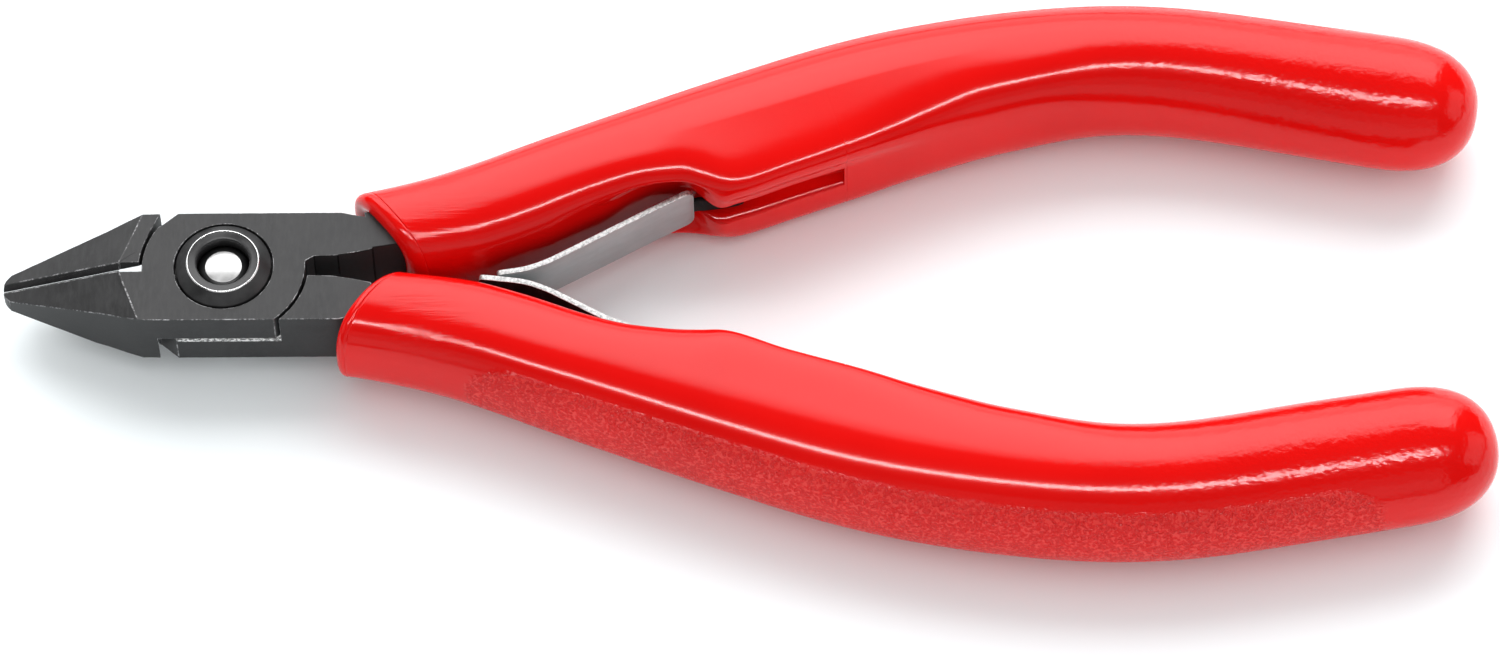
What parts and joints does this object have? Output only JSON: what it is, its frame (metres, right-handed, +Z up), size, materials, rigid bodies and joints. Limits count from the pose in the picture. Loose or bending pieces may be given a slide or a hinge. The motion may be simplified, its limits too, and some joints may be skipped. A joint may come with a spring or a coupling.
{
  "type": "flush cutter",
  "caption": "Small hand cutter for electronics leads: lap-jointed forged jaws on a bolt and ring nut, dipped handle sleeves, and twin leaf springs that open it.",
  "frame": {"origin": "on the surface the tool lies on, below the middle of its box", "axes": "+X from the jaws to the ends of the handles, +Y towards the handle of the front half, +Z up, along the pivot"},
  "size_m": [0.1254, 0.0532, 0.011],
  "materials": {
    "forged_steel": "dark burnished, finely ground, worn bright on its edges",
    "bolt_steel": "turned, bright",
    "nut_steel": "black oxide with a worn bright rim",
    "red_plastic": "glossy dipped vinyl with a stippled grip on its outer side",
    "spring_steel": "bright rolled strip"
  },
  "bodies": {
    "front_side": {"front_half": "forged_steel", "upper_sleeve": "red_plastic", "pivot_bolt": "bolt_steel", "pivot_nut": "nut_steel"},
    "rear_side": {"rear_half": "forged_steel", "lower_sleeve": "red_plastic"},
    "upper_leaf": {"upper_leaf_spring": "spring_steel"},
    "lower_leaf": {"lower_leaf_spring": "spring_steel"}
  },
  "joints": [
    {"name": "jaw_pivot", "type": "hinge", "parent": "front_side", "child": "rear_side", "pos_m": [-0.0438, 0, 0.0055], "axis": [0, 0, -1], "range_deg": [0, 14], "stiffness_Nm_per_rad": 2.3, "springref_deg": 17.19},
    {"name": "upper_leaf_flex", "type": "hinge", "parent": "front_side", "child": "upper_leaf", "pos_m": [-0.0038, 0.0068, 0.0055], "axis": [0, 0, 1], "range_deg": [0, 10.5]},
    {"name": "lower_leaf_flex", "type": "hinge", "parent": "rear_side", "child": "lower_leaf", "pos_m": [-0.0038, -0.0068, 0.0055], "axis": [0, 0, -1], "range_deg": [0, 10.5]}
  ],
  "couplings": [
    {"joint": "upper_leaf_flex", "follows": "jaw_pivot", "ratio": 0.74},
    {"joint": "lower_leaf_flex", "follows": "jaw_pivot", "ratio": 0.74}
  ]
}
